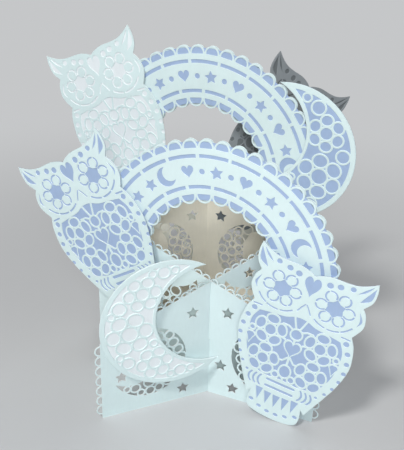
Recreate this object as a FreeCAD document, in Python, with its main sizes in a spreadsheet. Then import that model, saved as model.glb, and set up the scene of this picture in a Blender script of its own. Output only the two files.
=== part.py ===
import FreeCAD, Part
import math
import os

# Paper cascade card. Two die-cut card sheets, each folded once, slot together into a diamond with
# four open arms. Owls, moons and arches, each a lace-cut face on a plain liner, stand on foam pads
# in front of the arms. The origin is the foot of the front crossing and the card stands on Z = 0.
# On each arm's plane, u runs across to the viewer's right, z runs up and out comes forwards.

Vector = FreeCAD.Vector
os.makedirs("parts", exist_ok=True)
doc = FreeCAD.newDocument("CascadeCard")

# ---------------------------------------------------------------- driving dimensions (mm, degrees)
sizes = doc.addObject("Spreadsheet::Sheet", "Sizes")
driving = [
    ("card", 0.4),               # thickness of the folded sheets
    ("arm_yaw", 23.4),           # every arm's angle from the card's width
    ("front_reach", 66.0),       # front crossing to the free front ends
    ("right_side", 70.6),        # front crossing to the right fold
    ("left_side", 73.5),         # front crossing to the left fold
    ("rear_reach", 66.0),        # rear crossing to the free rear ends
    ("crossing_height", 77.0),   # top edge at the front crossing, which the windows follow
    ("front_slope", 21.7),       # rise of the front arms' top edge
    ("rear_slope", 14.0),        # rise of the rear arms' top edge
    ("fold_flat", 1.0),          # level top edge on each side of a fold
    ("slot_play", 0.15),         # free play on each side of the sheet in a slot
    ("plain_end", 0.5),          # edge left without loops at each end of a row of them
    ("edge_pitch", 5.4),         # lace loops on the sheets' top edges
    ("end_pitch", 6.7),          # and on their free front ends
    ("end_loops", 7),
    ("star_radius", 4.1),
    ("window_rib", 1.6),         # card left between a window's cells
    ("window_cells", 4),
    ("window_turn", 22.0),       # how far a window's open side is turned up
    ("fold_window_turn", 116.0),  # the same beside a fold, in a front arm
    ("liner", 0.25),             # thickness of the coloured liners
    ("face", 0.35),              # thickness of the lace-cut faces
    ("backing", 0.3),            # thickness of an arch's backing
    ("pad", 1.5),                # thickness of one foam pad
    ("pad_width", 7.0),
    ("pad_height", 7.5),
    ("band_outer", 68.7),        # arch: circle of the outer scallops' centres
    ("band_width", 26.5),        # from there to the circle of the inner scallops' centres
    ("outer_scallops", 24),
    ("inner_scallops", 14),
    ("scallop_rim", 1.3),        # card round a scallop's hole
    ("outer_dashes", 11),
    ("inner_dashes", 10),
    ("dash_width", 2.0),
    ("dash_margin", 4.9),        # from a scallop circle to its row of dashes
    ("dash_bridge", 2.2),        # card left between two dashes
    ("band_motifs", 9),
    ("motif_size", 4.4),
    ("mid_arch_lift", 11.4),     # foot of the middle arch above the front crossing's edge
    ("rear_arch_lift", 2.1),     # foot of the rear arch above the rear crossing's edge
    ("rear_arch_across", -3.0),
    ("moon_radius", 39.9),
    ("moon_bubbles", 7),
    ("moon_lean", 6.4),          # the front moon's turn away from its arm, on tapered foam
    ("owl_length", 100.1),       # notch between the ears to the tip of the tail
    ("owl_half_width", 32.75),
    ("front_owl_pad", 4.2),      # deeper foam between the middle arch and the front owl
    ("floor_gap", 0.2),          # under the front owl's tail
]
for row, (name, value) in enumerate(driving, start=1):
    sizes.set("A%d" % row, name)
    sizes.set("B%d" % row, str(value))
    sizes.setAlias("B%d" % row, name)
doc.recompute()


def size(name):
    return float(sizes.get(name))


def count(name):
    return int(round(size(name)))


yaw = math.radians(size("arm_yaw"))
half_card = size("card") / 2
front_rise = math.tan(math.radians(size("front_slope")))
rear_rise = math.tan(math.radians(size("rear_slope")))
crossing = size("crossing_height")
fold_flat = size("fold_flat")
sloping = (size("right_side") + size("left_side")) / 2 - fold_flat
rear_crossing_level = crossing + (front_rise + rear_rise) * sloping

band = size("band_outer")
band_inner = band - size("band_width")
motif_radius = (band + band_inner) / 2
mid_arch_foot = crossing + size("mid_arch_lift")
rear_arch_foot = rear_crossing_level + size("rear_arch_lift")

arch_backing_out = half_card + size("pad")                          # back of an arch's backing
arch_liner_out = arch_backing_out + size("backing") + size("pad")   # back of an arch's liner
arch_front = arch_liner_out + size("liner") + size("face")
deco_out = arch_front + size("pad")                                 # back of an owl on an arch
front_owl_out = arch_front + size("front_owl_pad")


# ---------------------------------------------------------------- places
def polar(radius, angle, centre=(0.0, 0.0)):
    return (centre[0] + radius * math.cos(angle), centre[1] + radius * math.sin(angle))


front_crossing = (0.0, 0.0)
rear_crossing = (
    (size("right_side") - size("left_side")) * math.cos(yaw),
    (size("right_side") + size("left_side")) * math.sin(yaw),
)


def on_plane(place, turn, u, z, out, tilt=0.0):
    """Placement of a flat piece: its X runs across the plane, its Y up and its Z out."""
    right = Vector(math.cos(turn), math.sin(turn), 0)
    normal = Vector(math.sin(turn), -math.cos(turn), 0)
    base = Vector(place[0], place[1], z) + right * u + normal * out
    matrix = FreeCAD.Matrix(
        right.x, 0, normal.x, 0,
        right.y, 0, normal.y, 0,
        0, 1, 0, 0,
        0, 0, 0, 1,
    )
    upright = FreeCAD.Placement(matrix)
    upright.Base = base
    return upright.multiply(FreeCAD.Placement(Vector(), FreeCAD.Rotation(Vector(0, 0, 1), tilt)))


# ---------------------------------------------------------------- flat outlines
def loop_wire(points):
    corners = [Vector(x, y, 0) for x, y in points]
    return Part.makePolygon(corners + corners[:1])


def plate(outline, holes, thickness, lift=0.0):
    """A flat piece with holes, from closed lists of points."""
    wires = [loop_wire(outline)] + [loop_wire(hole) for hole in holes]
    flat = Part.makeFace(Part.makeCompound(wires), "Part::FaceMakerBullseye")
    flat.translate(Vector(0, 0, lift))
    return flat.extrude(Vector(0, 0, thickness)).Solids[0]


def turned(points, angle, centre=(0.0, 0.0)):
    c, s = math.cos(angle), math.sin(angle)
    return [(centre[0] + x * c - y * s, centre[1] + x * s + y * c) for x, y in points]


def flipped(points):
    return [(-x, y) for x, y in points]


def ring(centre, radius, sides, start=0.0):
    return [polar(radius, start + 2 * math.pi * i / sides, centre) for i in range(sides)]


def star(centre, radius, start=math.pi / 2):
    points = []
    for i in range(10):
        reach = radius if i % 2 == 0 else radius * 0.5
        points.append(polar(reach, start + math.pi * i / 5, centre))
    return points


def heart(centre, width, height):
    """Two round shoulders over a point, about the middle of its height."""
    side = [(0, 0.30), (0.30, 0.50), (0.78, 0.46), (1.0, 0.15), (0.72, -0.18), (0, -0.5)]
    right = [(a * width / 2, b * height) for a, b in side]
    left = [(-a * width / 2, b * height) for a, b in side[-2:0:-1]]
    return turned(right + left, 0.0, centre)


def tip_angles(radius, bite, shift):
    """Angles of a moon's upper tip about its outer centre and about its bite's centre."""
    tip_x = (radius ** 2 - bite ** 2 + shift ** 2) / (2 * shift)
    tip_y = math.sqrt(radius ** 2 - tip_x ** 2)
    return math.atan2(tip_y, tip_x), math.atan2(tip_y, tip_x - shift)


def moon(radius, bite, shift, outer_parts, inner_parts):
    """A moon about its outer circle's centre, open towards +X."""
    outer_tip, inner_tip = tip_angles(radius, bite, shift)
    points = []
    for i in range(outer_parts):
        points.append(polar(radius, outer_tip + (2 * math.pi - 2 * outer_tip) * i / outer_parts))
    for i in range(inner_parts):
        back = 2 * math.pi - inner_tip
        points.append(polar(bite, back - (2 * math.pi - 2 * inner_tip) * i / inner_parts, (shift, 0)))
    return points


# ---------------------------------------------------------------- folded sheets
def lace_loops(start, end, pitch, bumps, cuts=3):
    """Half-round loops side by side, standing out to the right of the direction start to end."""
    heading = math.atan2(end[1] - start[1], end[0] - start[0])
    middle = ((start[0] + end[0]) / 2, (start[1] + end[1]) / 2)
    points = []
    for i in range(bumps):
        centre = polar(pitch * (i - (bumps - 1) / 2), heading, middle)
        for k in range(cuts):
            points.append(polar(pitch / 2, heading + math.pi * (1 + k / cuts), centre))
    points.append(polar(pitch * bumps / 2, heading, middle))
    return points


def edge_run(start, end):
    """An edge from start to end with lace loops on as much of it as they fit."""
    bumps = int((math.dist(start, end) - 2 * size("plain_end")) // size("edge_pitch"))
    return [start] + lace_loops(start, end, size("edge_pitch"), bumps) + [end]


def window(centre, turn, shift):
    """Moon-shaped window left as cells between ribs; its parts follow the crossing height."""
    radius, bite = 0.296 * crossing, 0.227 * crossing
    cells = count("window_cells")
    outer_tip, inner_tip = tip_angles(radius, bite, shift)
    holes = []
    for i in range(cells):
        first, last = i == 0, i == cells - 1
        cell = []
        for tip, reach, about, backwards in ((outer_tip, radius, 0.0, False), (inner_tip, bite, shift, True)):
            whole = 2 * math.pi - 2 * tip
            low = tip + whole * i / cells + (0 if first else size("window_rib") / 2 / reach)
            high = tip + whole * (i + 1) / cells - (0 if last else size("window_rib") / 2 / reach)
            side = [polar(reach, low + (high - low) * k / 3, (about, 0)) for k in range(4)]
            cell += side[::-1] if backwards else side
        if first:
            cell = cell[:-1]
        if last:
            cell = cell[:4] + cell[5:]
        holes.append(turned(cell, turn, centre))
    return holes


def slot_half_width():
    lap = 2 * yaw
    return half_card / math.sin(lap) + half_card / math.tan(lap) + size("slot_play")


def arm(fold_reach, free_reach, level_at_crossing, slope, slot_level, slot_from_top, laced_end):
    """One flat arm with its fold at +u, its free end at -u and the half-lap slot at u = 0."""
    rise = math.tan(math.radians(slope))
    half = slot_half_width()

    def top(u):
        return (u, level_at_crossing + rise * u)

    outline = [(-free_reach, 0)]
    if not slot_from_top:
        outline += [(-half, 0), (-half, slot_level), (half, slot_level), (half, 0)]
    outline += [(fold_reach + fold_flat, 0), (fold_reach + fold_flat, top(fold_reach - fold_flat)[1])]
    if slot_from_top:
        outline += edge_run(top(fold_reach - fold_flat), top(half))
        outline += [(half, slot_level), (-half, slot_level)]
        outline += edge_run(top(-half), top(-free_reach))
    else:
        outline += edge_run(top(fold_reach - fold_flat), top(-free_reach))
    if laced_end:
        low, high = 0.0, (count("end_loops") + 0.8) * size("end_pitch")
        outline += lace_loops((-free_reach, high), (-free_reach, low), size("end_pitch"), count("end_loops"))
    return outline


def window_holes(u, z, degrees, shift):
    """A window beside a crossing: u is positive towards the fold, in crossing heights like z."""
    turn = math.radians(degrees)
    place = (u * crossing, z * crossing)
    return window(place, turn if u > 0 else math.pi - turn, shift * crossing)


def star_holes(places):
    return [star((u * crossing, z * crossing), size("star_radius")) for u, z in places]


def front_arm_holes():
    holes = star_holes([(-0.143, 0.76), (-0.21, 0.095), (-0.105, 0.28), (-0.70, 0.33), (0.313, 1.012)])
    holes += window_holes(-0.486, 0.405, size("window_turn"), 0.149)
    return holes + window_holes(0.401, 0.909, size("fold_window_turn"), 0.234)


def rear_arm_holes():
    holes = star_holes([(0.127, 1.214), (-0.127, 1.214)])
    holes += window_holes(0.409, 0.896, size("window_turn"), 0.162)
    return holes + window_holes(-0.409, 0.896, size("window_turn"), 0.162)


def folded_sheet(front_turn, fold_reach, rear_fold_reach, fold_on_right, slot_from_top):
    """Front arm and rear arm joined by the fold, mitred on the plane that halves the fold."""
    rear_level = crossing + front_rise * (fold_reach - fold_flat) + rear_rise * (rear_fold_reach - fold_flat)
    front = arm(fold_reach, size("front_reach"), crossing, size("front_slope"),
                crossing / 2, slot_from_top, True)
    rear = arm(rear_fold_reach, size("rear_reach"), rear_level, -size("rear_slope"),
               rear_crossing_level / 2, slot_from_top, False)
    solids = []
    for outline, holes, place, turn, rear_side in (
        (front, front_arm_holes(), front_crossing, front_turn, False),
        (rear, rear_arm_holes(), rear_crossing, -front_turn, True),
    ):
        if not fold_on_right:
            outline = flipped(outline)
            holes = [flipped(hole) for hole in holes]
        flat = plate(outline, holes, size("card"), -half_card)
        flat.Placement = on_plane(place, turn, 0, 0, 0)
        solids.append(flat.common(mitre_side(fold_reach, rear_side)))
    return solids[0].fuse(solids[1]).removeSplitter().Solids[0]


def mitre_side(fold_reach, rear_side):
    """Half space in front of or behind the fold's mitre, as a box that holds the whole card."""
    fold_y = fold_reach * math.sin(yaw)
    side = 6 * crossing
    corner = Vector(-side / 2, fold_y if rear_side else fold_y - side, -crossing)
    return Part.makeBox(side, side, side, corner)


def show(label, shape, placement=None):
    piece = doc.addObject("Part::Feature", label)
    piece.Label = label
    piece.Shape = shape
    if placement is not None:
        piece.Placement = placement
    return piece


show("left_front_sheet", folded_sheet(yaw, size("right_side"), size("left_side"), True, True))
show("right_front_sheet", folded_sheet(-yaw, size("left_side"), size("right_side"), False, False))


# ---------------------------------------------------------------- arches
def scallop_row(radius, number, outwards, cuts):
    """A half circle edged with scallops, from the right foot to the left foot."""
    pitch = math.pi / number
    bump = radius * math.sin(pitch / 2)
    points = []
    for i in range(number):
        middle = polar(radius, pitch * (i + 0.5))
        for k in range(cuts + (i == number - 1)):
            around = pitch * (i + 0.5) + (1 if outwards else -1) * (math.pi * k / cuts - math.pi / 2)
            around += 0 if outwards else math.pi
            points.append(polar(bump, around, middle))
    return points


def band_outline(cuts_outer, cuts_inner):
    outer = scallop_row(band, count("outer_scallops"), True, cuts_outer)
    inner = scallop_row(band_inner, count("inner_scallops"), False, cuts_inner)
    return outer + inner[::-1]


def scallop_holes(radius, number, outwards):
    """A small half-round hole in each scallop."""
    pitch = math.pi / number
    inside = radius * math.sin(pitch / 2) - size("scallop_rim")
    holes = []
    for i in range(number):
        angle = pitch * (i + 0.5)
        facing = angle if outwards else angle + math.pi
        middle = polar(radius, angle)
        start = facing - math.pi / 2
        holes.append([polar(inside, start + math.pi * k / 2, middle) for k in range(3)])
    return holes


def dash_holes(radius, number):
    """Curved slots in a row round the band."""
    pitch = math.pi / number
    bridge = size("dash_bridge") / 2 / radius
    low, high = radius - size("dash_width") / 2, radius + size("dash_width") / 2
    holes = []
    for i in range(number):
        start, end = pitch * i + bridge, pitch * (i + 1) - bridge
        holes.append([polar(low, start), polar(high, start), polar(high, end), polar(low, end)])
    return holes


def motif_holes():
    """Stars, hearts and moons in turn round the middle of the band."""
    number, reach = count("band_motifs"), size("motif_size")
    holes = []
    for i in range(number):
        angle = math.pi * (i + 0.5) / number
        centre = polar(motif_radius, angle)
        upright = angle - math.pi / 2
        if i % 2 == 0:
            holes.append(star(centre, reach, angle))
        elif i % 4 == 1:
            holes.append(turned(heart((0, 0), 2 * reach, 2 * reach), upright, centre))
        else:
            shape = moon(reach, reach * 0.78, reach * 0.5, 6, 4)
            holes.append(turned(shape, upright, centre))
    return holes


def plain_band():
    """Half ring behind the lace, straight between the scallops' middles."""
    outer, inner = band + size("scallop_rim"), band_inner - size("scallop_rim")
    points = []
    for radius, number in ((outer, count("outer_scallops")), (inner, count("inner_scallops"))):
        row = [polar(radius, math.pi * i / number) for i in range(number + 1)]
        points += row if not points else row[::-1]
    return points


def arch(name, place, u, z):
    outline = band_outline(3, 3)
    holes = scallop_holes(band, count("outer_scallops"), True)
    holes += scallop_holes(band_inner, count("inner_scallops"), False)
    holes += dash_holes(band - size("dash_margin"), count("outer_dashes"))
    holes += dash_holes(band_inner + size("dash_margin"), count("inner_dashes"))
    holes += motif_holes()
    backing_place = on_plane(place, -yaw, u, z, arch_backing_out)
    liner_place = on_plane(place, -yaw, u, z, arch_liner_out)
    face_place = on_plane(place, -yaw, u, z, arch_liner_out + size("liner"))
    show(name + "_backing", plate(band_outline(3, 2), [], size("backing")), backing_place)
    show(name + "_liner", plate(plain_band(), [], size("liner")), liner_place)
    show(name + "_face", plate(outline, holes, size("face")), face_place)


arch("mid_arch", front_crossing, 0.0, mid_arch_foot)
arch("rear_arch", rear_crossing, size("rear_arch_across"), rear_arch_foot)


# ---------------------------------------------------------------- owls
def owl_shape(points):
    """Points given in hundredths of the owl's half width and length."""
    return [(x * size("owl_half_width") / 100, y * size("owl_length") / 100) for x, y in points]


def owl_outline():
    """Round the owl from the notch between its ears, down one side and back up the other."""
    side = owl_shape([
        (0, 0), (9, 1.6), (26, 3.1), (50, 3.3), (66, 3.9), (95, 8.8), (97.6, 3.9), (96, -2.3),
        (85.6, -7.5), (96, -17), (92, -21.6), (84, -26.2), (92.4, -32.1), (98, -45.8), (94, -53.7),
        (86.4, -62.2), (76, -70.7), (64, -79.8), (54, -87.7), (46.6, -85.1), (48.8, -92.3),
        (44, -97.1), (26, -99.2), (0, -100),
    ])
    return side + flipped(side[-2:0:-1])


def trimmed(outline):
    """The outline with every other outward corner cut off, so that it stays inside."""
    kept = []
    for i, (x, y) in enumerate(outline):
        before, after = outline[i - 1], outline[(i + 1) % len(outline)]
        turn = (x - before[0]) * (after[1] - y) - (y - before[1]) * (after[0] - x)
        if turn > 0 or i % 2:
            kept.append((x, y))
    return kept


def owl_holes():
    k = size("owl_half_width")
    eye = ring((0.446 * k, -0.446 * k), 0.17 * k, 8, math.pi / 8)
    stroke = owl_shape([(66, 0), (82, 2.3), (84, 0.7), (68, -1.7)])
    wing = owl_shape([(72, -41), (78, -41), (74, -58.4), (68, -57)])
    half = [eye, stroke, wing]
    bars = [owl_shape([(-24, y), (24, y), (24, y - 2), (-24, y - 2)]) for y in (-75.5, -80.5)]
    tail = []
    for i in range(-2, 3):
        tail.append(owl_shape([(12.8 * i - 4, -85.5), (12.8 * i + 4, -85.5), (12.8 * i, -95)]))
    middle = [
        heart((0, -0.2 * k), 0.31 * k, 0.32 * k),
        owl_shape([(-10, -18), (10, -18), (0, -26)]),
        heart((0, -1.6 * k), 0.4 * k, 0.38 * k),
    ]
    return half + [flipped(hole) for hole in half] + middle + bars + tail


def owl(name, place, turn, u, z, tilt, out):
    back = on_plane(place, turn, u, z, out, tilt)
    front = on_plane(place, turn, u, z, out + size("liner"), tilt)
    show(name + "_liner", plate(trimmed(owl_outline()), [], size("liner")), back)
    show(name + "_face", plate(owl_outline(), owl_holes(), size("face")), front)


def standing_height(tilt):
    """Height of the notch of a tilted owl whose tail just clears the floor."""
    turn = math.radians(tilt)
    lowest = min(x * math.sin(turn) + y * math.cos(turn) for x, y in owl_outline())
    return size("floor_gap") - lowest


owl("front_owl", front_crossing, -yaw, 0.882 * band, standing_height(-10.3), -10.3, front_owl_out)
owl("left_owl", front_crossing, -yaw, -1.326 * band, mid_arch_foot + 0.677 * band, 31.0, deco_out)
owl("rear_left_owl", rear_crossing, -yaw, -1.114 * band, rear_arch_foot + 0.876 * band, 23.0, deco_out)
owl("rear_right_owl", rear_crossing, yaw, 0.961 * band, rear_arch_foot + 0.646 * band, -30.5,
    arch_backing_out)


# ---------------------------------------------------------------- moons
moon_radius = size("moon_radius")
moon_bite = 0.787 * moon_radius
moon_shift = 0.584 * moon_radius


def moon_holes():
    """Bubbles down the middle of the moon, smaller towards its tips."""
    number = count("moon_bubbles")
    holes = []
    for i in range(number):
        t = (i + 0.5) / number - 0.5
        centre = polar(moon_radius * (0.62 + 0.62 * t * t), math.pi + 2.6 * t)
        holes.append(ring(centre, moon_radius * (0.113 - 0.135 * abs(t)), 6))
    return holes


def big_moon(name, back, front):
    outline = moon(moon_radius, moon_bite, moon_shift, 18, 14)
    show(name + "_liner", plate(outline, [], size("liner")), back)
    show(name + "_face", plate(outline, moon_holes(), size("face")), front)


moon_lean = math.radians(size("moon_lean"))
front_moon_u, front_moon_z = -0.669 * moon_radius, 1.464 * moon_radius
front_moon_out = half_card + 0.123 * moon_radius
front_moon_foot = on_plane(front_crossing, yaw, front_moon_u, 0, front_moon_out).Base
big_moon(
    "front_moon",
    on_plane(front_moon_foot, yaw - moon_lean, 0, front_moon_z, 0, 8.6),
    on_plane(front_moon_foot, yaw - moon_lean, 0, front_moon_z, size("liner"), 8.6),
)
rear_moon_u, rear_moon_z = 0.7205 * band, rear_arch_foot + 0.275 * band
big_moon(
    "rear_moon",
    on_plane(rear_crossing, -yaw, rear_moon_u, rear_moon_z, deco_out, 151.0),
    on_plane(rear_crossing, -yaw, rear_moon_u, rear_moon_z, deco_out + size("liner"), 151.0),
)


# ---------------------------------------------------------------- foam pads
def foam(label, place, turn, u, z, depth, out):
    """A square pad centred on (u, z); depth is an expression for its thickness."""
    pad = doc.addObject("Part::Box", label)
    pad.Label = label
    pad.setExpression("Length", "Sizes.pad_width")
    pad.setExpression("Width", "Sizes.pad_height")
    pad.setExpression("Height", depth)
    pad.Placement = on_plane(place, turn, u - size("pad_width") / 2, z - size("pad_height") / 2, out)
    return pad


def wedge_foam(label, u, z):
    """A tapered pad between an arm and the leaning front moon."""
    left, right = u - size("pad_width") / 2, u + size("pad_width") / 2
    lean = math.tan(moon_lean)
    plan = [(left, half_card), (right, half_card),
            (right, front_moon_out + (right - front_moon_u) * lean),
            (left, front_moon_out + (left - front_moon_u) * lean)]
    low = z - size("pad_height") / 2
    corners = [on_plane(front_crossing, yaw, across, low, out).Base for across, out in plan]
    floor = Part.Face(Part.makePolygon(corners + corners[:1]))
    show(label, floor.extrude(Vector(0, 0, size("pad_height"))))


single = "Sizes.pad"
to_the_arm = "3 * Sizes.pad + Sizes.backing + Sizes.liner + Sizes.face"
front_owl_to_the_arm = to_the_arm + " - Sizes.pad + Sizes.front_owl_pad"
spacer_out = arch_backing_out + size("backing")
for name, place, across, foot in (
    ("mid_arch", front_crossing, 0.0, mid_arch_foot),
    ("rear_arch", rear_crossing, size("rear_arch_across"), rear_arch_foot),
):
    foam(name + "_pad", place, -yaw, across - motif_radius, foot + 0.067 * band, single, half_card)
    for side, degrees in (("right", 5.5), ("top", 90.0), ("left", 174.5)):
        u, z = polar(motif_radius, math.radians(degrees), (across, foot))
        foam(name + "_spacer_" + side, place, -yaw, u, z, single, spacer_out)

for name, place, turn, u, z, depth, out in (
    ("front_owl_low_pad", front_crossing, -yaw, 0.837 * band, 0.5 * crossing, front_owl_to_the_arm,
     half_card),
    ("front_owl_high_pad", front_crossing, -yaw, 0.8 * band, mid_arch_foot + 0.08 * band, "Sizes.front_owl_pad",
     arch_front),
    ("left_owl_low_pad", front_crossing, -yaw, -0.83 * band, 0.97 * crossing, to_the_arm, half_card),
    ("left_owl_high_pad", front_crossing, -yaw, -0.9 * band, mid_arch_foot + 0.1 * band, single, arch_front),
    ("rear_left_owl_low_pad", rear_crossing, -yaw, -0.75 * band, 0.91 * rear_crossing_level,
     to_the_arm, half_card),
    ("rear_left_owl_high_pad", rear_crossing, -yaw, -0.84 * band, rear_arch_foot + 0.1 * band, single,
     arch_front),
    ("rear_right_owl_low_pad", rear_crossing, yaw, 0.36 * band, 0.83 * rear_crossing_level, single,
     half_card),
    ("rear_right_owl_high_pad", rear_crossing, yaw, 0.553 * band, rear_crossing_level, single, half_card),
    ("rear_moon_low_pad", rear_crossing, -yaw, 0.735 * band, 0.882 * rear_crossing_level, to_the_arm,
     half_card),
    ("rear_moon_high_pad", rear_crossing, -yaw, 0.844 * band, rear_arch_foot + 0.085 * band, single,
     arch_front),
):
    foam(name, place, turn, u, z, depth, out)
wedge_foam("front_moon_outer_pad", front_moon_u - 0.785 * moon_radius, 1.153 * moon_radius)
wedge_foam("front_moon_inner_pad", front_moon_u - 0.358 * moon_radius, 1.404 * moon_radius)

# ---------------------------------------------------------------- check and export
doc.recompute()
for piece in doc.Objects:
    assert "Invalid" not in piece.State and "Error" not in piece.State, piece.Label
    if piece.TypeId.startswith("Part::"):
        assert not piece.Shape.isNull() and piece.Shape.isValid(), piece.Label
        piece.Shape.exportStep(os.path.join("parts", piece.Label + ".step"))
        print(piece.Label, len(piece.Shape.Solids), piece.Shape.BoundBox)
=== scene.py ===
import math

import bpy
import bmesh
import numpy as np
from mathutils import Matrix, Vector
from mathutils.geometry import delaunay_2d_cdt


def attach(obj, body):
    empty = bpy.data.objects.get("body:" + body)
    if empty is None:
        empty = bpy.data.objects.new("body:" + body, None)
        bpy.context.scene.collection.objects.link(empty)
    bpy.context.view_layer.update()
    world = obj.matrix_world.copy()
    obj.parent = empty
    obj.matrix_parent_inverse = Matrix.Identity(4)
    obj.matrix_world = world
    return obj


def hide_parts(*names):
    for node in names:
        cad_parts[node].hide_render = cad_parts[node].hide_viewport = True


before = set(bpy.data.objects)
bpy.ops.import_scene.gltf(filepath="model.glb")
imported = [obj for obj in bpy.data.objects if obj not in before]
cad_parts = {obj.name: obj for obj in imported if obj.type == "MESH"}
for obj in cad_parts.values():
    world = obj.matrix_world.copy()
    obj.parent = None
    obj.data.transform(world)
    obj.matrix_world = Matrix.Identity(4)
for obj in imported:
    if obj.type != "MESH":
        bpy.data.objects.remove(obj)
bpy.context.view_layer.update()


mm = 0.001
print("frame loaded")

# the card's own sizes, in mm
yaw = math.radians(23.4)
card = {
    "half": 0.2,
    "frontReach": 66.0,
    "rightSide": 70.6,
    "leftSide": 73.5,
    "rearReach": 66.0,
    "crossingTop": 77.0,
    "frontRise": math.tan(math.radians(21.7)),
    "rearRise": math.tan(math.radians(14.0)),
    "frontSlot": 38.5,
    "rearSlot": 61.5,
    "slotPlay": 0.15,
    "edgePitch": 5.4,
    "endPitch": 6.7,
    "endLoops": 7,
    "star": 4.1,
}
stack = {
    "pad": 1.5,
    "backing": 0.3,
    "liner": 0.25,
    "face": 0.35,
}
backingOut = card["half"] + stack["pad"]
linerOut = backingOut + stack["backing"] + stack["pad"]
decoOut = linerOut + stack["liner"] + stack["face"] + stack["pad"]

frontCrossing = (0.0, 0.0)
rearCrossing = (
    (card["rightSide"] - card["leftSide"]) * math.cos(yaw),
    (card["rightSide"] + card["leftSide"]) * math.sin(yaw),
)


def onPlane(crossing, turn, across, up, out, tilt=0.0):
    # matrix of a flat piece: its X runs across the plane, its Y up and its Z out
    right = Vector((math.cos(turn), math.sin(turn), 0))
    normal = Vector((math.sin(turn), -math.cos(turn), 0))
    base = Vector((crossing[0], crossing[1], up)) + right * across + normal * out
    axes = Matrix((
        (right.x, 0, normal.x, base.x),
        (right.y, 0, normal.y, base.y),
        (0, 1, 0, base.z),
        (0, 0, 0, 1),
    ))
    return axes @ Matrix.Rotation(math.radians(tilt), 4, "Z")


# materials
def shaderOf(material):
    return material.node_tree.nodes["Principled BSDF"]


def newMaterial(name, color, roughness):
    material = bpy.data.materials.new(name)
    material.use_nodes = True
    shader = shaderOf(material)
    shader.inputs["Base Color"].default_value = (*color, 1)
    shader.inputs["Roughness"].default_value = roughness
    return material


def noiseField(material, scale, detail, stretch=(1, 1, 1)):
    # paper pattern fixed to the piece
    nodes, links = material.node_tree.nodes, material.node_tree.links
    coordinates = nodes.new("ShaderNodeTexCoord")
    mapping = nodes.new("ShaderNodeMapping")
    mapping.inputs["Scale"].default_value = stretch
    noise = nodes.new("ShaderNodeTexNoise")
    noise.inputs["Scale"].default_value = scale
    noise.inputs["Detail"].default_value = detail
    links.new(coordinates.outputs["Object"], mapping.inputs["Vector"])
    links.new(mapping.outputs["Vector"], noise.inputs["Vector"])
    return noise.outputs["Fac"]


def ranged(material, value, low, high):
    node = material.node_tree.nodes.new("ShaderNodeMapRange")
    node.inputs["From Min"].default_value = 0.3
    node.inputs["From Max"].default_value = 0.7
    node.inputs["To Min"].default_value = low
    node.inputs["To Max"].default_value = high
    material.node_tree.links.new(value, node.inputs["Value"])
    return node.outputs["Result"]


def blended(material, value, low, high):
    node = material.node_tree.nodes.new("ShaderNodeMix")
    node.data_type = "RGBA"
    node.inputs["A"].default_value = (*low, 1)
    node.inputs["B"].default_value = (*high, 1)
    material.node_tree.links.new(value, node.inputs["Factor"])
    return node.outputs["Result"]


def cardMaterial(name, color, roughness, mottle, tooth, pearl=0.0):
    material = newMaterial(name, color, roughness)
    nodes, links = material.node_tree.nodes, material.node_tree.links
    shader = shaderOf(material)
    cloud = noiseField(material, paper["cloudScale"], 4.0)
    fibres = noiseField(material, paper["fibreScale"], 3.0, paper["fibreStretch"])
    both = nodes.new("ShaderNodeMath")
    both.operation = "ADD"
    links.new(ranged(material, cloud, 0.0, 0.6), both.inputs[0])
    links.new(ranged(material, fibres, 0.0, 0.4), both.inputs[1])
    dark = [c * (1 - mottle) for c in color]
    light = [min(1.0, c * (1 + mottle * 0.7)) for c in color]
    links.new(blended(material, both.outputs["Value"], dark, light), shader.inputs["Base Color"])
    links.new(ranged(material, cloud, roughness - 0.07, roughness + 0.07), shader.inputs["Roughness"])
    bump = nodes.new("ShaderNodeBump")
    bump.inputs["Strength"].default_value = tooth
    bump.inputs["Distance"].default_value = paper["toothDepth"]
    links.new(fibres, bump.inputs["Height"])
    links.new(bump.outputs["Normal"], shader.inputs["Normal"])
    shader.inputs["Sheen Weight"].default_value = pearl
    shader.inputs["Sheen Roughness"].default_value = 0.4
    shader.inputs["Coat Weight"].default_value = pearl
    shader.inputs["Coat Roughness"].default_value = 0.35
    return material


paper = {
    "cloudScale": 55.0,
    "fibreScale": 700.0,
    "fibreStretch": (1.0, 1.0, 0.35),
    "toothDepth": 0.00005,
}
pearlCard = cardMaterial("pearlCard", (0.73, 0.88, 0.89), 0.45, 0.035, 0.2, 0.15)
creamReverse = cardMaterial("creamReverse", (0.95, 0.91, 0.79), 0.6, 0.05, 0.3)
lilacCard = cardMaterial("lilacCard", (0.37, 0.49, 0.71), 0.5, 0.06, 0.2, 0.1)
whiteCard = cardMaterial("whiteCard", (0.84, 0.90, 0.93), 0.5, 0.04, 0.2, 0.1)
# painted shade: the next two are the pearl card and the owl's mat darkened to grey and slate, for the
# shade the rear right owl stands in
paintedShadeCard = cardMaterial("paintedShadeCard", (0.30, 0.33, 0.35), 0.6, 0.07, 0.3)
paintedShadeMat = cardMaterial("paintedShadeMat", (0.17, 0.19, 0.20), 0.6, 0.07, 0.3)
cardCore = cardMaterial("cardCore", (0.90, 0.92, 0.91), 0.8, 0.06, 0.4)
foamMaterial = cardMaterial("foam", (0.80, 0.80, 0.78), 0.9, 0.08, 0.6)


# flat shapes
def polar(radius, angle, centre=(0.0, 0.0)):
    return (centre[0] + radius * math.cos(angle), centre[1] + radius * math.sin(angle))


def turned(points, angle, centre=(0.0, 0.0)):
    c, s = math.cos(angle), math.sin(angle)
    return [(centre[0] + x * c - y * s, centre[1] + x * s + y * c) for x, y in points]


def flipped(points):
    return [(-x, y) for x, y in points]


def disc(centre, radius, sides):
    return [polar(radius, 2 * math.pi * i / sides, centre) for i in range(sides)]


def oval(centre, wide, high, angle, sides):
    around = [polar(1.0, 2 * math.pi * i / sides) for i in range(sides)]
    return turned([(x * wide, y * high) for x, y in around], angle, centre)


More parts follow.
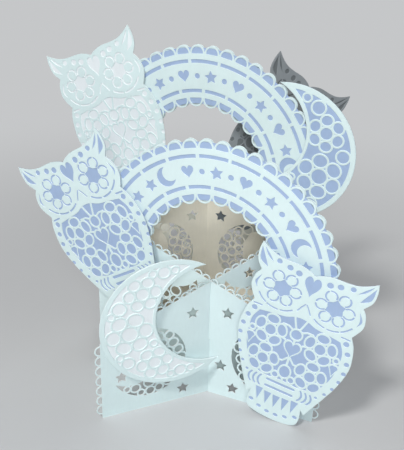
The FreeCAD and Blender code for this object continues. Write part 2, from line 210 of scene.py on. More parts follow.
def star(centre, radius, start=math.pi / 2, waist=0.5):
    return [polar(radius if i % 2 == 0 else radius * waist, start + math.pi * i / 5, centre)
            for i in range(10)]


def heart(centre, width, height, angle=0.0, sides=28):
    # the usual heart curve, fitted to a width and a height
    points = []
    for i in range(sides):
        t = 2 * math.pi * i / sides
        x = math.sin(t) ** 3
        y = (13 * math.cos(t) - 5 * math.cos(2 * t) - 2 * math.cos(3 * t) - math.cos(4 * t)) / 29
        points.append((x * width / 2, (y + 0.088) * height))
    return turned(points, angle, centre)


def tipAngles(radius, bite, shift):
    tipX = (radius ** 2 - bite ** 2 + shift ** 2) / (2 * shift)
    tipY = math.sqrt(radius ** 2 - tipX ** 2)
    return math.atan2(tipY, tipX), math.atan2(tipY, tipX - shift)


def moon(radius, bite, shift, parts):
    # a moon about its outer circle's centre, open towards +X
    outerTip, innerTip = tipAngles(radius, bite, shift)
    points = []
    for i in range(parts):
        points.append(polar(radius, outerTip + (2 * math.pi - 2 * outerTip) * i / parts))
    for i in range(parts):
        angle = 2 * math.pi - innerTip - (2 * math.pi - 2 * innerTip) * i / parts
        points.append(polar(bite, angle, (shift, 0)))
    return points


def smooth(points, corners, steps):
    # closed Catmull-Rom curve through points, sharp at the corners given by index
    result = []
    number = len(points)
    for i in range(number):
        p1, p2 = np.array(points[i]), np.array(points[(i + 1) % number])
        p0 = 2 * p1 - p2 if i in corners else np.array(points[i - 1])
        following = (i + 1) % number
        p3 = 2 * p2 - p1 if following in corners else np.array(points[(i + 2) % number])
        for k in range(steps):
            t = k / steps
            point = 0.5 * (2 * p1 + (p2 - p0) * t + (2 * p0 - 5 * p1 + 4 * p2 - p3) * t ** 2
                           + (3 * p1 - p0 - 3 * p2 + p3) * t ** 3)
            result.append((float(point[0]), float(point[1])))
    return result


def stroke(points, width, ends=4):
    # a slit of even width with round ends along a line of points
    path = np.array(points)
    tangent = np.gradient(path, axis=0)
    tangent /= np.linalg.norm(tangent, axis=1)[:, None]
    side = np.column_stack((-tangent[:, 1], tangent[:, 0])) * width / 2
    left, right = path + side, path - side
    outline = [tuple(p) for p in left]
    heading = math.atan2(tangent[-1][1], tangent[-1][0])
    for k in range(1, ends):
        outline.append(polar(width / 2, heading + math.pi / 2 - math.pi * k / ends, path[-1]))
    outline += [tuple(p) for p in right[::-1]]
    heading = math.atan2(tangent[0][1], tangent[0][0])
    for k in range(1, ends):
        outline.append(polar(width / 2, heading - math.pi / 2 - math.pi * k / ends, path[0]))
    return [(float(x), float(y)) for x, y in outline]


def arcLine(centre, radius, start, end, parts=8):
    # points on an arc; angles in degrees
    return [polar(radius, math.radians(start + (end - start) * i / parts), centre)
            for i in range(parts + 1)]


def insideOf(points, region):
    # which of the points lie inside the region
    x, y = points[:, 0], points[:, 1]
    inside = np.zeros(len(points), bool)
    for (x1, y1), (x2, y2) in zip(region, region[1:] + region[:1]):
        if y1 == y2:
            continue
        crosses = ((y1 > y) != (y2 > y)) & (x < (x2 - x1) * (y - y1) / (y2 - y1) + x1)
        inside ^= crosses
    return inside


def roomInside(points, region):
    # distance from each point to the region's outline
    nearest = np.full(len(points), np.inf)
    for start, end in zip(region, region[1:] + region[:1]):
        a, b = np.array(start), np.array(end)
        along = b - a
        length = max(float(along @ along), 1e-12)
        t = np.clip(((points - a) @ along) / length, 0, 1)
        nearest = np.minimum(nearest, np.linalg.norm(points - (a + t[:, None] * along), axis=1))
    return nearest


def bubbles(region, big, small, seed, keepOff=()):
    # round bubbles packed into a region, large ones first, each snug to its neighbours
    picker = np.random.default_rng(seed)
    corners = np.array(region)
    low, high = corners.min(axis=0), corners.max(axis=0)
    points = low + picker.random((6000, 2)) * (high - low)
    points = points[insideOf(points, region)]
    room = roomInside(points, region)
    for x, y, radius in keepOff:
        room = np.minimum(room, np.hypot(points[:, 0] - x, points[:, 1] - y) - radius)
    packed = []
    radius = big
    while radius > small:
        wanted = radius * (0.86 + 0.14 * picker.random())
        fits = room >= wanted
        if not fits.any():
            radius *= 0.95
            continue
        best = int(np.argmin(np.where(fits, room, np.inf)))
        x, y = points[best]
        packed.append((float(x), float(y), float(wanted)))
        room = np.minimum(room, np.hypot(points[:, 0] - x, points[:, 1] - y) - wanted)
    return packed


# plates
def turnsLeft(outline):
    return sum(a[0] * b[1] - b[0] * a[1] for a, b in zip(outline, outline[1:] + outline[:1])) > 0


def cutPlate(layers):
    # triangles of a flat plate. Each layer is (outline, keeps); the last one over a spot decides
    points = []
    outlines = []
    for outline, _ in layers:
        loop = list(range(len(points), len(points) + len(outline)))
        outlines.append(loop if turnsLeft(outline) else loop[::-1])
        points += [Vector(p) for p in outline]
    cut = delaunay_2d_cdt(points, [], outlines, 0, 1e-6, True)
    corners, triangles, owners = cut[0], cut[2], cut[5]
    kept = [t for t, o in zip(triangles, owners) if o and layers[max(o)][1]]
    return corners, kept


def plateMesh(name, layers, thickness, place, soft=0.0, backMaterial=0, topMaterial=0,
              foldAt=None, foldLean=0.0):
    corners, triangles = cutPlate(layers)
    mesh = bmesh.new()
    spots = {i: mesh.verts.new((*corners[i], 0)) for i in sorted({i for t in triangles for i in t})}
    flat = [mesh.faces.new([spots[i] for i in t]) for t in triangles]
    mesh.normal_update()
    bmesh.ops.reverse_faces(mesh, faces=[face for face in flat if face.normal.z < 0])
    grown = bmesh.ops.extrude_face_region(mesh, geom=flat)["geom"]
    top = [part for part in grown if isinstance(part, bmesh.types.BMFace)]
    topCorners = [part for part in grown if isinstance(part, bmesh.types.BMVert)]
    bmesh.ops.translate(mesh, vec=(0, 0, thickness - soft), verts=topCorners)
    mesh.normal_update()
    for face in mesh.faces:
        face.material_index = 1
    for face in top:
        face.material_index = topMaterial
    for face in flat:
        face.material_index = backMaterial
    if soft:
        # the pressed edge that a cutting die leaves
        bmesh.ops.inset_region(mesh, faces=top, thickness=soft, depth=soft, use_boundary=True,
                               use_even_offset=False)
    if foldAt is not None:
        joint = [face for face in mesh.faces
                 if all(abs(v.co.x - foldAt) < 1e-4 for v in face.verts)]
        bmesh.ops.delete(mesh, geom=joint, context="FACES_ONLY")
        for vert in mesh.verts:
            if abs(vert.co.x - foldAt) < 1e-4:
                vert.co.x += foldLean * (vert.co.z - thickness / 2)
    bmesh.ops.transform(mesh, matrix=Matrix.Diagonal((mm, mm, mm, 1)) @ place, verts=mesh.verts)
    data = bpy.data.meshes.new(name)
    mesh.to_mesh(data)
    mesh.free()
    piece = bpy.data.objects.new(name, data)
    bpy.context.scene.collection.objects.link(piece)
    return piece


def finishPiece(piece, node, face, edge, reverse=None):
    for material in (face, edge, reverse or face):
        piece.data.materials.append(material)
    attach(piece, "root")
    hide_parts(node)


def joinPieces(pieces, weld):
    whole = bmesh.new()
    for piece in pieces:
        whole.from_mesh(piece.data)
    bmesh.ops.remove_doubles(whole, verts=whole.verts, dist=weld)
    bmesh.ops.recalc_face_normals(whole, faces=whole.faces)
    whole.to_mesh(pieces[0].data)
    whole.free()
    for piece in pieces[1:]:
        bpy.data.objects.remove(piece)
    return pieces[0]


def ringLayers(rings, rib, sides, lap):
    # a ring is (x, y, half width, half height, turn); all outsides are kept, then all insides cut
    outside = [(oval((x, y), a + lap, b + lap, turn, sides), True) for x, y, a, b, turn in rings]
    inside = [(oval((x, y), a - rib, b - rib, turn, sides), False) for x, y, a, b, turn in rings]
    return outside + inside


def roundRings(circles):
    return [(x, y, r, r, 0.0) for x, y, r in circles]


def flower(x, y, reach, start, petals=6):
    # a round middle with petals about it, each petal wider than it is long
    outwards = 0.69 * reach
    rings = [(x, y, 0.37 * reach, 0.37 * reach, 0.0)]
    for i in range(petals):
        facing = start + 2 * math.pi * i / petals
        cx, cy = polar(outwards, facing, (x, y))
        rings.append((cx, cy, reach - outwards, outwards * math.sin(math.pi / petals), facing))
    return rings


def footprints(rings):
    return [(x, y, (a + b) / 2) for x, y, a, b, _ in rings]


# folded sheets
window = {
    "radius": 22.8,
    "bite": 17.5,
    "shift": 11.5,
    "foldShift": 18.0,
    "rearShift": 12.5,
    "turn": 22.0,
    "foldTurn": 116.0,
    "bigRing": 3.3,
    "smallRing": 2.3,
    "rib": 0.5,
    "lap": 0.5,
    "loopWall": 0.8,
}


def windowLayers(u, z, degrees, shift, seed):
    # a moon-shaped window filled with a net of small rings; u is positive towards the fold
    turn = math.radians(degrees)
    turn = turn if u > 0 else math.pi - turn
    shape = turned(moon(window["radius"], window["bite"], shift, 28), turn, (u, z))
    packed = bubbles(shape, window["bigRing"], window["smallRing"], seed)
    return [(shape, False)] + ringLayers(roundRings(packed), window["rib"], 18, window["lap"])


def loopRow(start, end, pitch, side, bumps=None):
    # loops side by side along an edge: kept discs, then their half-round holes outside the edge
    length = math.dist(start, end)
    if bumps is None:
        bumps = int((length - 1.0) // pitch)
    heading = math.atan2(end[1] - start[1], end[0] - start[0])
    middle = ((start[0] + end[0]) / 2, (start[1] + end[1]) / 2)
    hole = pitch / 2 - window["loopWall"]
    keep, cut = [], []
    for i in range(bumps):
        centre = polar(pitch * (i - (bumps - 1) / 2), heading, middle)
        keep.append((disc(centre, pitch / 2, 22), True))
        arc = [polar(hole, heading + side * math.pi * k / 10, centre) for k in range(11)]
        cut.append((arc, False))
    return keep, cut


def slotHalf():
    lap = 2 * yaw
    return card["half"] / math.sin(lap) + card["half"] / math.tan(lap) + card["slotPlay"]


def armLayers(foldReach, freeReach, level, rise, slotLevel, slotFromTop, lacedEnd, holes):
    # one arm with its fold at +u and its free end at -u, as layers in its own plane
    half = slotHalf()
    foldTop = level + rise * foldReach
    freeTop = level - rise * freeReach
    outline = [(-freeReach, 0), (foldReach, 0), (foldReach, foldTop), (-freeReach, freeTop)]
    layers = [(outline, True)]
    cuts = []
    runs = [((foldReach - 1, foldTop - rise), (-freeReach, freeTop))]
    if slotFromTop:
        runs = [((foldReach - 1, foldTop - rise), (half, level + rise * half)),
                ((-half, level - rise * half), (-freeReach, freeTop))]
    for start, end in runs:
        keep, cut = loopRow(start, end, card["edgePitch"], -1)
        layers += keep
        cuts += cut
    if lacedEnd:
        loops = card["endLoops"]
        keep, cut = loopRow((-freeReach, 0), (-freeReach, (loops + 0.8) * card["endPitch"]),
                            card["endPitch"], 1, loops)
        layers += keep
        cuts += cut
    layers += cuts
    low, high = (slotLevel, level + 20) if slotFromTop else (-5, slotLevel)
    layers.append(([(-half, low), (half, low), (half, high), (-half, high)], False))
    # nothing stands below the floor line
    left, right = -freeReach - 9, foldReach + 9
    layers.append(([(left, -9), (right, -9), (right, 0), (left, 0)], False))
    return layers + holes


def sheet(name, node, frontTurn, foldReach, rearFoldReach, foldOnRight, slotFromTop, seed):
    frontStars = [(-11, 58.5), (-16.2, 7.3), (-8.1, 21.6), (-54, 25.4), (24.1, 77.9)]
    rearStars = [(9.8, 93.5), (-9.8, 93.5)]
    frontHoles = windowLayers(-37.4, 31.2, window["turn"], window["shift"], seed)
    frontHoles += windowLayers(30.9, 70, window["foldTurn"], window["foldShift"], seed + 1)
    frontHoles += [(star(p, card["star"]), False) for p in frontStars]
    rearHoles = windowLayers(31.5, 69, window["turn"], window["rearShift"], seed + 2)
    rearHoles += windowLayers(-31.5, 69, window["turn"], window["rearShift"], seed + 3)
    rearHoles += [(star(p, card["star"]), False) for p in rearStars]
    foldLevel = card["crossingTop"] + card["frontRise"] * foldReach
    rearLevel = foldLevel + card["rearRise"] * rearFoldReach
    front = armLayers(foldReach, card["frontReach"], card["crossingTop"], card["frontRise"],
                      card["frontSlot"], slotFromTop, True, frontHoles)
    rear = armLayers(rearFoldReach, card["rearReach"], rearLevel, -card["rearRise"],
                     card["rearSlot"], slotFromTop, False, rearHoles)
    lean = 1 / math.tan(yaw)
    halves = []
    for label, layers, crossing, turn, reach, leanSign in (
        ("Front", front, frontCrossing, frontTurn, foldReach, 1 if foldOnRight else -1),
        ("Rear", rear, rearCrossing, -frontTurn, rearFoldReach, -1 if foldOnRight else 1),
    ):
        foldAt = reach
        if not foldOnRight:
            layers = [(flipped(outline), keeps) for outline, keeps in layers]
            foldAt = -reach
        place = onPlane(crossing, turn, 0, 0, -card["half"])
        inner, outer = (2, 0) if label == "Front" else (0, 2)
        halves.append(plateMesh(name + label, layers, 2 * card["half"], place, 0.0, inner, outer,
                                foldAt, leanSign * lean))
    finishPiece(joinPieces(halves, 2e-6), node, pearlCard, cardCore, creamReverse)


sheet("leftFrontSheet", "left_front_sheet", yaw, card["rightSide"], card["leftSide"],
      True, True, 11)
sheet("rightFrontSheet", "right_front_sheet", -yaw, card["leftSide"], card["rightSide"],
      False, False, 31)
print("sheets folded")

# arches
arch = {
    "outerScallops": 24,
    "innerScallops": 14,
    "outerRadius": 68.7,
    "innerRadius": 42.2,
    "rim": 1.0,
    "linerOuter": 71.6,
    "linerInner": 39.4,
    "outerDash": 63.9,
    "outerDashes": 11,
    "innerDash": 46.9,
    "innerDashes": 10,
    "dashWidth": 2.0,
    "dashBridge": 1.9,
    "motifRadius": 55.4,
    "star": 4.0,
    "heart": (7.2, 7.0),
    "moon": (5.6, 4.6, 3.2),
    "dot": 1.6,
    "soft": 0.12,
}


def scallopEdge(radius, number, outwards, parts=10):
    pitch = math.pi / number
    bump = radius * math.sin(pitch / 2)
    points = []
    for i in range(number):
        middle = polar(radius, pitch * (i + 0.5))
        facing = pitch * (i + 0.5) + (0 if outwards else math.pi)
        sweep = math.pi if outwards else -math.pi
        for k in range(parts + (i == number - 1)):
            points.append(polar(bump, facing - sweep / 2 + sweep * k / parts, middle))
    return points


def bandOutline():
    outer = scallopEdge(arch["outerRadius"], arch["outerScallops"], True)
    inner = scallopEdge(arch["innerRadius"], arch["innerScallops"], False)
    return outer + inner[::-1]


def scallopCuts(radius, number, outwards):
    # a half-round hole in each scallop, its straight side towards the band
    pitch = math.pi / number
    inside = radius * math.sin(pitch / 2) - arch["rim"]
    cuts = []
    for i in range(number):
        angle = pitch * (i + 0.5)
        facing = angle if outwards else angle + math.pi
        middle = polar(radius, angle)
        shape = [polar(inside, facing + math.radians(-98 + 196 * k / 12), middle) for k in range(13)]
        cuts.append((shape, False))
    return cuts


def dashCuts(radius, number):
    pitch = 180 / number
    gap = math.degrees(arch["dashBridge"] / 2 / radius)
    cuts = []
    for i in range(number):
        low, high = pitch * i + gap, pitch * (i + 1) - gap
        outer = arcLine((0, 0), radius + arch["dashWidth"] / 2, low, high)
        inner = arcLine((0, 0), radius - arch["dashWidth"] / 2, high, low)
        cuts.append((outer + inner, False))
    return cuts


def motifCuts(row):
    # motifs round the band; row gives (kind, degrees from the right foot)
    cuts = []
    for kind, degrees in row:
        angle = math.radians(degrees)
        centre = polar(arch["motifRadius"], angle)
        upright = angle - math.pi / 2
        if kind == "star":
            cuts.append((star(centre, arch["star"], angle + 0.2), False))
        elif kind == "heart":
            cuts.append((heart(centre, *arch["heart"], upright), False))
        elif kind == "dot":
            cuts.append((disc(centre, arch["dot"], 14), False))
        elif kind == "moon":
            cuts.append((turned(moon(*arch["moon"], 14), upright + 0.4, centre), False))
    return cuts


def motifRow(left, right, first, last, number):
    # stars and moons at the feet and a row of hearts, stars and dots between
    row = list(left) + list(right)
    pattern = ("heart", "dot", "star", "dot")
    for i in range(number):
        row.append((pattern[i % 4], first + (last - first) * i / (number - 1)))
    return row


def archPieces(name, node, crossing, across, up, row):
    band = bandOutline()
    backing = plateMesh(name + "Backing", [(band, True)], stack["backing"],
                        onPlane(crossing, -yaw, across, up, backingOut), arch["soft"], 2)
    finishPiece(backing, node + "_backing", pearlCard, cardCore, creamReverse)
    strip = arcLine((0, 0), arch["linerOuter"], 0, 180, 90)
    strip += arcLine((0, 0), arch["linerInner"], 180, 0, 60)
    liner = plateMesh(name + "Liner", [(strip, True)], stack["liner"],
                      onPlane(crossing, -yaw, across, up, linerOut))
    finishPiece(liner, node + "_liner", lilacCard, lilacCard)
    layers = [(band, True)]
    layers += scallopCuts(arch["outerRadius"], arch["outerScallops"], True)
    layers += scallopCuts(arch["innerRadius"], arch["innerScallops"], False)
    layers += dashCuts(arch["outerDash"], arch["outerDashes"])
    layers += dashCuts(arch["innerDash"], arch["innerDashes"])
    layers += motifCuts(row)
    face = plateMesh(name + "Face", layers, stack["face"],
                     onPlane(crossing, -yaw, across, up, linerOut + stack["liner"]), arch["soft"], 2)
    finishPiece(face, node + "_face", pearlCard, cardCore, creamReverse)


archPieces("midArch", "mid_arch", frontCrossing, 0.0, 88.4, motifRow(
    [("star", 142.7), ("star", 130.7), ("moon", 119)], [("moon", 24), ("star", 12.5)], 105, 37, 9))
archPieces("rearArch", "rear_arch", rearCrossing, -3.0, 125.1, motifRow(
    [("star", 160), ("moon", 150)], [("star", 20), ("moon", 10)], 138, 33, 13))
print("arches cut")

# owls
owl = {
    "scale": 0.655,
    "rib": 0.55,
    "lap": 0.45,
    "frontPad": 4.2,
    "soft": 0.12,
    "flower": 14.2,
    "tall": 1.12,
    "bigBubble": 4.4,
    "smallBubble": 2.7,
    "heart": (13.4, 15.4),
    "heartLevel": -74.7,
    "heartRim": 1.5,
    "browHeart": (13.6, 19.0),
    "browLevel": -10.8,
    "eye": (22.3, -21.3),
    "eyeReach": 20.6,
    "eyeLine": 1.5,
    "petalsOut": 11.3,
    "petal": 4.7,
    "slit": 1.5,
    "beakLine": 1.1,
    "toeLine": 1.7,
    "barLine": 2.6,
    "stemLine": 1.7,
    "dropAt": (37, -77),
    "dropRim": (9.4, 13.4),
    "drop": (6.6, 10.4),
}


def sized(points):
    return [(x * owl["scale"], y * owl["scale"]) for x, y in points]


def owlOutline():
    side = [
        (0, 0), (4.5, 2.5), (13, 4.8), (25, 5), (33, 6), (40.5, 9), (47.5, 13.4), (48.8, 6),
        (48, -3.5), (42.8, -11.5), (46.3, -17), (48, -26), (46, -33), (42, -40), (46.2, -49),
        (48.4, -60), (49, -70), (47, -82), (43.2, -95), (38, -108), (32, -122), (27, -134),
        (23.3, -130), (24.4, -141), (22, -148.3), (13, -151.6), (0, -152.8),
    ]
    sharp = (0, 6, 9, 13, 21, 22)
    points = side + flipped(side[-2:0:-1])
    number = len(points)
    corners = set(sharp) | {number - i for i in sharp if i}
    return sized(smooth(points, corners, 4))


def bothSides(shapes):
    return shapes + [flipped(shape) for shape in shapes]


def owlEye():
    # a six-sided pupil between six petals, each held by a bridge at its tip
    centre = owl["eye"]
    pupil = [polar(8.6 if i % 2 else 6.3, math.pi * i / 6, centre) for i in range(12)]
    shapes = [pupil]
    for i in range(6):
        facing = 60 * i
        petal = polar(owl["petalsOut"], math.radians(facing), centre)
        for side in (1, -1):
            line = arcLine(petal, owl["petal"], facing + 14 * side, facing + 132 * side, 8)
            shapes.append(stroke(line, owl["slit"]))
    return shapes


def owlHead():
    shapes = owlEye()
    shapes += [disc(p, r, 14) for p, r in (((13, -2.7), 2.7), ((21, -0.8), 2.6), ((30.6, 1.4), 2.3))]
    # two long leaves run up each ear
    shapes.append(smooth([(34.6, -1.6), (38.6, 3.4), (45.4, 10.4), (40.9, 3.0)], {0, 2}, 4))
    shapes.append(smooth([(38.2, -7.6), (41.8, -0.6), (47.0, 9.2), (46.0, -2.4)], {0, 2}, 4))
    shapes.append(smooth([(42.3, -29.5), (43.4, -23.5), (41.2, -15.5), (45.3, -23.5)], {0, 2}, 4))
    for start, end in ((-60, -33), (-92, -66), (-128, -100)):
        shapes.append(stroke(arcLine(owl["eye"], owl["eyeReach"], start, end, 6), owl["eyeLine"]))
    shapes.append(stroke([(34.5, -43.6), (41.3, -43.8)], owl["eyeLine"]))
    shapes.append(stroke([(5.5, -35.5), (3, -31), (0.6, -27.5)], owl["beakLine"]))
    return bothSides(shapes)


def owlFeet():
    # three curved toes on each side of two bars
    shapes = []
    for i in range(3):
        centre = (12.5 + 4.3 * i, -116)
        shapes.append(stroke(arcLine(centre, 7.5, -48, 42, 6), owl["toeLine"]))
    bars = [stroke([(-12, level), (0, level), (12, level)], owl["barLine"])
            for level in (-112.6, -119.4)]
    return bothSides(shapes) + bars


def owlTail():
    # a row of pointed feathers over a row of dots
    shapes = []
    for i in range(-2, 3):
        x = 8.2 * i
        top = -126.0 + 0.5 * i * i
        shapes.append([(x - 3.4, top), (x + 3.4, top), (x * 0.96, top - 13.5)])
    for i in range(6):
        x = 8.2 * (i - 2.5)
        shapes.append(oval((x, -146.4 + 0.0155 * x * x), 2.3, 1.8, 0.0, 12))
    return shapes


def owlSides():
    # dots down the rim of the body
    shapes = []
    for i in range(8):
        angle = math.radians(34 - 12.4 * i)
        place = (9.5 + 36.6 * math.cos(angle), -74 + 46 * math.sin(angle))
        shapes.append(disc(place, 2.5 - 0.16 * i, 12))
    return bothSides(shapes)


def teardrop(centre, wide, high):
    side = [(0, -high * 0.6), (wide * 0.28, -high * 0.1), (wide * 0.5, high * 0.2),
            (wide * 0.3, high * 0.4)]
    curve = smooth(side + [(0, high * 0.42)] + flipped(side[:0:-1]), {0}, 3)
    return [(x + centre[0], y + centre[1]) for x, y in curve]


def owlBody(seed):
    # half the breast with flowers and bubbles beside a heart, then its mirror image
    half = smooth([(1.0, -41.5), (6, -42.4), (13, -45.4), (24, -46.8), (35, -48.5), (39.3, -58),
                   (40, -70), (38.5, -83), (34.5, -95), (28, -104.5), (17, -109), (1.0, -108)],
                  {0, 4, 11}, 4)
    # the cells are laid out squat, and stretched upwards when they are cut
    tall = owl["tall"]
    high, low = -63.2 / tall, -93.4 / tall
    squat = [(x, y / tall) for x, y in half]
    middle = [(0, -58.4 / tall, 5.2, 5.0, 0.0), (0, -98.4 / tall, 5.4, 6.2, 0.0)]
    rings = flower(21.8, high, owl["flower"], math.pi / 2, 5)
    rings += flower(21.2, low, owl["flower"], math.pi / 2, 5)
    held = footprints(rings + middle) + [(0, -76 / tall, 9.0), (7, -70 / tall, 5.0),
                                         (6, -84 / tall, 6.0), (37, -77 / tall, 4.5),
                                         (21.8, high, 13.0), (21.2, low, 13.0), (4, -50 / tall, 7.0)]
    rings += roundRings(bubbles(squat, owl["bigBubble"], owl["smallBubble"], seed, held))
    whole = half + flipped(half)[::-1]
    rings += [(-x, y, a, b, -turn) for x, y, a, b, turn in rings] + middle
    return whole, rings


def owlPieces(name, node, matCard, faceCard, edgeCard, place, seed):
    outline = owlOutline()
    liner = plateMesh(name + "Liner", [(outline, True)], stack["liner"], place)
    finishPiece(liner, node + "_liner", matCard, matCard)
    body, rings = owlBody(seed)
    layers = [(outline, True), (sized(body), False)]
    wide, high = owl["heart"]
    rim = owl["heartRim"]
    heartCentre = (0, owl["heartLevel"])
    layers.append((sized(heart(heartCentre, wide + 2 * rim, high + 2 * rim)), True))
    for side in (-1, 1):
        # stems that carry the heart, and a drop at each flank
        for stem in ([(0, -82), (5 * side, -88), (12 * side, -88.5)], [(0, -82), (0, -88), (0, -92)],
                     [(5 * side, -70), (8 * side, -66.5), (11 * side, -66)],
                     [(1.2 * side, -54), (3.4 * side, -48), (5.6 * side, -41.5)],
                     [(3.5 * side, -55), (8 * side, -52.5), (13 * side, -52.5)]):
            layers.append((sized(stroke(stem, owl["stemLine"])), True))
        drop = (owl["dropAt"][0] * side, owl["dropAt"][1])
        layers.append((sized(teardrop(drop, *owl["dropRim"])), True))
    k = owl["scale"]
    cells = ringLayers([(x * k, y * k, a * k, b * k, turn) for x, y, a, b, turn in rings],
                       owl["rib"], 20, owl["lap"])
    layers += [([(x, y * owl["tall"]) for x, y in outline], keeps) for outline, keeps in cells]
    layers.append((sized(heart(heartCentre, wide, high)), False))
    for side in (-1, 1):
        drop = (owl["dropAt"][0] * side, owl["dropAt"][1])
        layers.append((sized(teardrop(drop, *owl["drop"])), False))
    layers.append((sized(heart((0, owl["browLevel"]), *owl["browHeart"])), False))
    for shape in owlHead() + owlFeet() + owlTail() + owlSides():
        layers.append((sized(shape), False))
    lift = Matrix.Translation((0, 0, stack["liner"]))
    face = plateMesh(name + "Face", layers, stack["face"], place @ lift, owl["soft"])
    finishPiece(face, node + "_face", faceCard, edgeCard)


owlPieces("frontOwl", "front_owl", lilacCard, pearlCard, cardCore,
          onPlane(frontCrossing, -yaw, 60.6, 99.42, decoOut - stack["pad"] + owl["frontPad"], -10.3), 3)
owlPieces("leftOwl", "left_owl", lilacCard, pearlCard, cardCore,
          onPlane(frontCrossing, -yaw, -91.1, 134.9, decoOut, 31.0), 3)
owlPieces("rearLeftOwl", "rear_left_owl", whiteCard, pearlCard, cardCore,
          onPlane(rearCrossing, -yaw, -76.5, 185.3, decoOut, 23.0), 3)
# painted shade: the rear right owl is cut from the darkened copies of pearl card and mat, for the shade
# it stands in
owlPieces("rearRightOwl", "rear_right_owl", paintedShadeMat, paintedShadeCard, paintedShadeCard,
          onPlane(rearCrossing, yaw, 66.0, 169.5, backingOut, -30.5), 3)
print("owls cut")

# moons
bigMoon = {
    "radius": 39.9,
    "bite": 31.4,
    "shift": 23.3,
    "innerShift": 24.5,
    "rim": 3.0,
    "rib": 0.7,
    "lap": 0.5,
    "soft": 0.26,
    "flowers": ((180, 23.4, 13.4), (118.5, 26.2, 10.7), (241.5, 26.2, 10.7)),
    "bigBubble": 4.2,
    "smallBubble": 2.3,
}


def moonPieces(name, node, matCard, place, seed):
    outline = moon(bigMoon["radius"], bigMoon["bite"], bigMoon["shift"], 48)
    liner = plateMesh(name + "Liner", [(outline, True)], stack["liner"], place)
    finishPiece(liner, node + "_liner", matCard, matCard)
    inner = moon(bigMoon["radius"] - bigMoon["rim"], bigMoon["bite"] + bigMoon["rim"],
                 bigMoon["innerShift"], 40)
    around, rings = [], []
    for degrees, distance, reach in bigMoon["flowers"]:
        x, y = polar(distance, math.radians(degrees))
        around.append((x, y, reach))
        rings += flower(x, y, reach, math.radians(degrees))
    rings += roundRings(bubbles(inner, bigMoon["bigBubble"], bigMoon["smallBubble"], seed, around))
    layers = [(outline, True), (inner, False)] + ringLayers(rings, bigMoon["rib"], 24, bigMoon["lap"])
    lift = Matrix.Translation((0, 0, stack["liner"]))
    face = plateMesh(name + "Face", layers, stack["face"], place @ lift, bigMoon["soft"])
    finishPiece(face, node + "_face", pearlCard, cardCore)


frontMoonFoot = onPlane(frontCrossing, yaw, -26.7, 58.4, 5.1).translation
moonPieces("frontMoon", "front_moon", whiteCard,
           onPlane((frontMoonFoot.x, frontMoonFoot.y), math.radians(17), 0, 58.4, 0, 8.6), 5)
moonPieces("rearMoon", "rear_moon", lilacCard,
           onPlane(rearCrossing, -yaw, 49.5, 144.0, decoOut, 151.0), 8)
print("moons cut")

# foam pads keep their CAD shape
for name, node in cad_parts.items():
    if "pad" in name or "spacer" in name:
        node.data.materials.clear()
        node.data.materials.append(foamMaterial)
print("foam painted")


# floor, light and camera
studio = {
    "tone": (0.56, 0.57, 0.58, 1),
    "fadeFrom": 0.05,
    "fadeTo": 0.6,
    "nearGlow": 0.12,
    "sky": (0.86, 0.90, 0.94, 1),
    "skyStrength": 0.10,
}
view = {
    "place": (-13.06, -343.54, 273.22),
    "heading": 0.0196,
    "pitch": 0.4385,
    "roll": -0.0328,
    "lens": 62.11,
}


def makeFloor():
    bpy.ops.mesh.primitive_plane_add(size=8.0, location=(0, 1.5, 0))
    floor = bpy.context.object
    floor.name = "floor"
    paint = newMaterial("floorPaint", (0.62, 0.63, 0.64), 0.6)
    nodes, links = paint.node_tree.nodes, paint.node_tree.links
    # far from the card the floor keeps one even pale tone
    coordinates = nodes.new("ShaderNodeTexCoord")
    mapping = nodes.new("ShaderNodeMapping")
    mapping.inputs["Location"].default_value = (0, 1.5, 0)
    distance = nodes.new("ShaderNodeVectorMath")
    distance.operation = "LENGTH"
    fade = nodes.new("ShaderNodeMapRange")
    fade.interpolation_type = "SMOOTHSTEP"
    fade.inputs["From Min"].default_value = studio["fadeFrom"]
    fade.inputs["From Max"].default_value = studio["fadeTo"]
    fade.inputs["To Min"].default_value = studio["nearGlow"]
    path = nodes.new("ShaderNodeLightPath")
    seen = nodes.new("ShaderNodeMath")
    seen.operation = "MULTIPLY"
    glow = nodes.new("ShaderNodeEmission")
    glow.inputs["Color"].default_value = studio["tone"]
    glow.inputs["Strength"].default_value = 1.0
    mixed = nodes.new("ShaderNodeMixShader")
    links.new(coordinates.outputs["Object"], mapping.inputs["Vector"])
    links.new(mapping.outputs["Vector"], distance.inputs[0])
    links.new(distance.outputs["Value"], fade.inputs["Value"])
    links.new(fade.outputs["Result"], seen.inputs[0])
    links.new(path.outputs["Is Camera Ray"], seen.inputs[1])
    links.new(seen.outputs["Value"], mixed.inputs["Fac"])
    links.new(shaderOf(paint).outputs["BSDF"], mixed.inputs[1])
    links.new(glow.outputs["Emission"], mixed.inputs[2])
    links.new(mixed.outputs["Shader"], nodes["Material Output"].inputs["Surface"])
    floor.data.materials.append(paint)


def makeLight(name, place, target, size, power, color):
    data = bpy.data.lights.new(name, "AREA")
    data.size = size
    data.energy = power
    data.color = color
    light = bpy.data.objects.new(name, data)
    light.location = place
    light.rotation_euler = (Vector(target) - Vector(place)).to_track_quat("-Z", "Y").to_euler()
    bpy.context.scene.collection.objects.link(light)


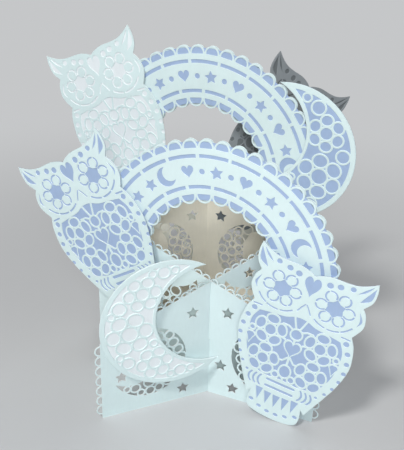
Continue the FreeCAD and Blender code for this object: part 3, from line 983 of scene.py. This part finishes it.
def makeWorld():
    world = bpy.data.worlds.new("studio")
    world.use_nodes = True
    nodes, links = world.node_tree.nodes, world.node_tree.links
    background = nodes["Background"]
    background.inputs["Color"].default_value = studio["sky"]
    background.inputs["Strength"].default_value = studio["skyStrength"]
    # what the camera sees past the floor is the floor's own pale tone
    backdrop = nodes.new("ShaderNodeBackground")
    backdrop.inputs["Color"].default_value = studio["tone"]
    backdrop.inputs["Strength"].default_value = 1.0
    path = nodes.new("ShaderNodeLightPath")
    mixed = nodes.new("ShaderNodeMixShader")
    links.new(path.outputs["Is Camera Ray"], mixed.inputs["Fac"])
    links.new(background.outputs["Background"], mixed.inputs[1])
    links.new(backdrop.outputs["Background"], mixed.inputs[2])
    links.new(mixed.outputs["Shader"], nodes["World Output"].inputs["Surface"])
    bpy.context.scene.world = world


def makeCamera():
    heading, pitch, roll = view["heading"], view["pitch"], view["roll"]
    ahead = Vector((math.sin(heading) * math.cos(pitch), math.cos(heading) * math.cos(pitch),
                    -math.sin(pitch)))
    level = Vector((math.cos(heading), -math.sin(heading), 0))
    dropping = ahead.cross(level)
    right = math.cos(roll) * level + math.sin(roll) * dropping
    down = -math.sin(roll) * level + math.cos(roll) * dropping
    turn = Matrix((right, -down, -ahead)).transposed().to_4x4()
    data = bpy.data.cameras.new("viewer")
    data.sensor_width = 36.0
    data.sensor_fit = "HORIZONTAL"
    data.lens = view["lens"]
    data.clip_start = 0.01
    data.clip_end = 20.0
    camera = bpy.data.objects.new("viewer", data)
    camera.matrix_world = Matrix.Translation(Vector(view["place"]) * mm) @ turn
    bpy.context.scene.collection.objects.link(camera)
    bpy.context.scene.camera = camera


makeFloor()
makeWorld()
makeLight("key", (-0.46, -0.74, 1.20), (0, 0, 0.09), 0.20, 10.9, (1.0, 0.99, 0.97))
makeLight("front", (-0.01, -0.56, 0.40), (0, 0.02, 0.08), 0.16, 1.8, (0.96, 0.98, 1.0))
makeLight("back", (0.30, 0.85, 0.60), (0, 0, 0.10), 0.50, 1.8, (1.0, 1.0, 1.0))
makeCamera()
bpy.context.scene.view_settings.view_transform = "Standard"
print("stage set")
